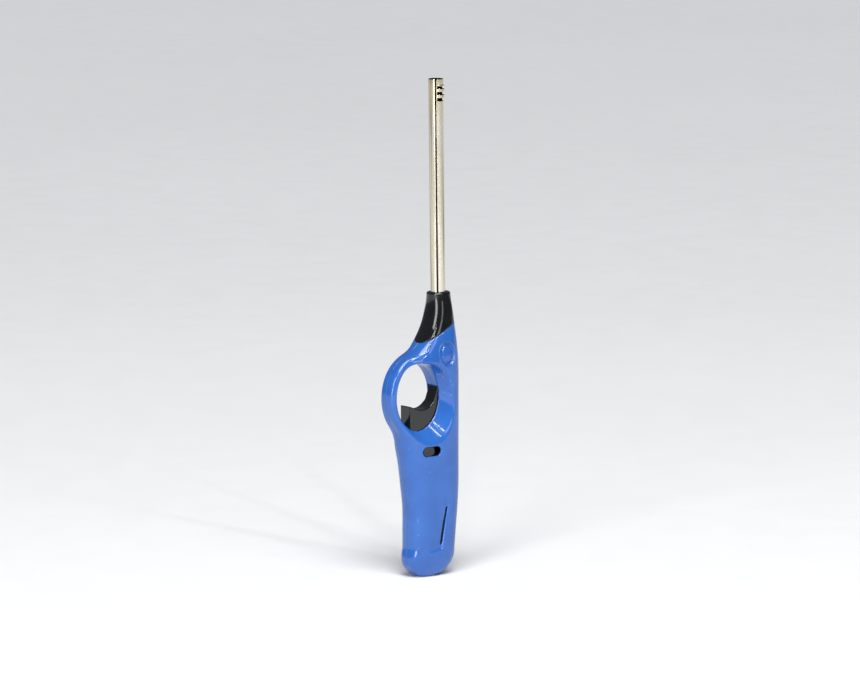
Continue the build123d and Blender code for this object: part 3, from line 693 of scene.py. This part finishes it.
# ---- trigger and lock ------------------------------------------------------------------------------
FINGER_CURVE = [
    (-9.7, 94.5), (-5.4, 92.8), (-1.5, 91.8), (2.2, 92.3), (5.2, 93.9), (8.0, 96.9), (9.3, 100.0),
]
FINGER_FROM, FINGER_TO = -9.7, 9.3
ARM_HEIGHTS, ARM_EDGES, ARM_TOP = (96.9, 100.0, 103.0), (8.0, 9.25, 9.8), 102.9
BLADE_LOW, BLADE_EDGE = 76, 0.5
FOOT_FROM, FOOT_TO, FOOT_TOP, FOOT_LIFT = -9.5, 10.8, 77.4, 0.08


def trigger_field(x, y, z):
    """The trigger: a curved finger face, an arm up the ring's wall and a wide foot."""
    probe = 0.1
    top = curve_through(FINGER_CURVE, np.clip(x, FINGER_FROM, FINGER_TO))
    ahead = curve_through(FINGER_CURVE, np.clip(x + probe, FINGER_FROM, FINGER_TO))
    slope = (ahead - top) / probe
    face = (z - top) / np.sqrt(1 + slope**2)
    arm = np.maximum(np.interp(z, ARM_HEIGHTS, ARM_EDGES) - x, z - ARM_TOP)
    face = soft_min(face, arm, 0.6)
    sides = np.maximum(TRIGGER_LOW[0] - x, x - TRIGGER_HIGH[0])
    blade = round_max(face, sides, BLADE_EDGE)
    blade = round_max(blade, np.abs(y) - TRIGGER_HALF, BLADE_EDGE)
    blade = np.maximum(blade, BLADE_LOW - z)
    foot_low = (FOOT_FROM, -1, TRIGGER_LOW[2] + FOOT_LIFT)
    foot = brick(x, np.abs(y), z, foot_low, (FOOT_TO, TRIGGER_HIGH[1], FOOT_TOP))
    return np.minimum(blade, foot)


trigger = moulding("trigger_moulding", trigger_field, TRIGGER_LOW, TRIGGER_HIGH, 1, 0.26)
finish_piece(trigger, "black_gloss", "trigger_body", "trigger")


PLATE_OUTER, PLATE_INNER, BUTTON_ROOT = -6.7, -5.8, -6.5      # y of the lock's plate and button
BUTTON_SHIFT, BUTTON_HALF, BUTTON_R = 1.7, 1.5, 2.4
RIDGE_DEPTH, RIDGE_PITCH, RIDGE_REACH = 0.22, 0.95, 3.4


def lock_field(x, y, z):
    """The lock slider: a plate behind the wall and a ridged button in the slot."""
    plate = brick(x, y, z, (LOCK_LOW[0], PLATE_OUTER, LOCK_LOW[2]), (LOCK_HIGH[0], PLATE_INNER, LOCK_HIGH[2]))
    middle = LOCK_SLOT[0] - BUTTON_SHIFT
    ends = [(middle + side * BUTTON_HALF, LOCK_SLOT[1]) for side in (-1, 1)]
    outline = from_segment(x, z, *ends) - BUTTON_R
    ridges = RIDGE_DEPTH * np.cos((x - middle) * 2 * pi / RIDGE_PITCH) * (np.abs(x - middle) < RIDGE_REACH)
    crown = LOCK_LOW[1] + 0.3 - ridges - y
    button = round_max(round_max(outline, crown, 0.3), y - BUTTON_ROOT, 0.05)
    return np.minimum(plate, button)


lock = moulding("lock_button", lock_field, LOCK_LOW, LOCK_HIGH, 0.5, 0.14)
finish_piece(lock, "black_gloss", "lock_body", "lock_slider")

# ---- wand tube --------------------------------------------------------------------------------------
SEAM_ANGLE, SEAM_HALF_WIDTH = radians(-133), 0.42
TUBE_WALL = 0.4
VENT_FROM, VENT_TO = radians(-120), radians(-14)
VENT_TOP, VENT_PITCH, VENT_HEIGHT, VENT_COUNT = TUBE_HIGH[2] - 3.5, 3.3, 1.75, 3
LOUVRE_BULGE, LOUVRE_FULLNESS = 0.65, 0.6
SHEET_CORNER = 1.1           # radius of the sheet's top corner beside the seam
LEVEL_SLACK = 0.01           # rows this near a vent's edge belong to the edge
VENT_LOW = VENT_TOP - VENT_PITCH * (VENT_COUNT - 1) - VENT_HEIGHT


def tube_sheet():
    """The rolled sheet's outer face: open along the seam, cut by three vents."""
    gap = SEAM_HALF_WIDTH / TUBE_R
    start, end = SEAM_ANGLE + gap, SEAM_ANGLE + 2 * pi - gap
    angles = np.concatenate([
        np.linspace(start, VENT_FROM, 4)[:-1],
        np.linspace(VENT_FROM, VENT_TO, 25)[:-1],
        np.linspace(VENT_TO, end, 78),
    ])
    levels = list(np.linspace(TUBE_LOW[2], VENT_LOW - 1.2, 60))
    levels += list(np.linspace(VENT_LOW - 0.9, VENT_LOW, 4))
    open_rows = []
    for vent in range(VENT_COUNT):
        low = VENT_LOW + vent * VENT_PITCH
        open_rows.append((low, low + VENT_HEIGHT))
        levels += list(np.linspace(low, low + VENT_HEIGHT, 7)[1:])
        if vent < VENT_COUNT - 1:
            levels += list(np.linspace(low + VENT_HEIGHT, low + VENT_PITCH, 7)[1:])
    levels += list(np.linspace(VENT_TOP, TUBE_HIGH[2], 13)[1:])
    levels = np.array(sorted(set(np.round(levels, 5))))

    points, faces = [], []
    for z in levels:
        for angle in angles:
            radius = TUBE_R
            if VENT_LOW < z < VENT_TOP and VENT_FROM < angle < VENT_TO:
                across = sin(pi * (angle - VENT_FROM) / (VENT_TO - VENT_FROM))
                into = (z - VENT_LOW) % VENT_PITCH
                strip = into >= VENT_HEIGHT - LEVEL_SLACK or into < LEVEL_SLACK
                radius += LOUVRE_BULGE * across**LOUVRE_FULLNESS if strip else 0.0
            points.append((WAND_X + radius * cos(angle), radius * sin(angle), z))
    across_count = len(angles)
    for row in range(len(levels) - 1):
        middle = (levels[row] + levels[row + 1]) / 2
        vented = any(low < middle < high for low, high in open_rows)
        for column in range(across_count - 1):
            angle = (angles[column] + angles[column + 1]) / 2
            if vented and VENT_FROM < angle < VENT_TO:
                continue
            if corner_cut(angle, middle, start):
                continue
            a = row * across_count + column
            faces.append((a, a + 1, a + across_count + 1, a + across_count))
    return points, faces


def corner_cut(angle, z, start):
    """The rounded top corner of the sheet beside the seam."""
    along = (angle - start) * TUBE_R
    down = TUBE_HIGH[2] - z
    if along > SHEET_CORNER or down > SHEET_CORNER:
        return False
    return (SHEET_CORNER - along) ** 2 + (SHEET_CORNER - down) ** 2 > SHEET_CORNER**2


tube = make_piece("wand_sheet", *tube_sheet())
sheet = bmesh.new()
sheet.from_mesh(tube.data)
loose = [v for v in sheet.verts if not v.link_faces]
bmesh.ops.delete(sheet, geom=loose, context="VERTS")
sheet.to_mesh(tube.data)
sheet.free()
thicken = tube.modifiers.new("sheet thickness", "SOLIDIFY")
thicken.thickness = TUBE_WALL * MM
thicken.offset = -1.0
thicken.use_even_offset = True
soften = tube.modifiers.new("soft edges", "BEVEL")
soften.width = 0.07 * MM
soften.segments = 2
soften.limit_method = "ANGLE"
soften.angle_limit = radians(50)
finish_piece(tube, "wand_steel", "housing", "wand_tube")

# ---- springs ---------------------------------------------------------------------------------------
# Each spring is a copy of the CAD's own coil. Its row gives the joint, the end that stays still,
# and the joint's travel.
SPRINGS = {
    "piezo_spring": ("trigger_slide", "low", 5.5),
    "outlet_spring": ("valve_lift", "high", 1.5),
    "refill_spring": ("refill_press", "high", 1.2),
}
for node, (joint, fixed_end, travel) in SPRINGS.items():
    coil = bpy.data.objects.new(node + "_coil", frame["nodes"][node].data.copy())
    bpy.context.scene.collection.objects.link(coil)
    finish_piece(coil, "spring_steel", "housing", node)
    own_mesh(coil)

# ---- CAD nodes that stay ------------------------------------------------------------------------------
slots = {row["node"]: row["material_slot"] for row in frame["record"]["subparts"]}
for name, node in frame["nodes"].items():
    node.data.materials.clear()
    node.data.materials.append(LOOKS[slots[name]])
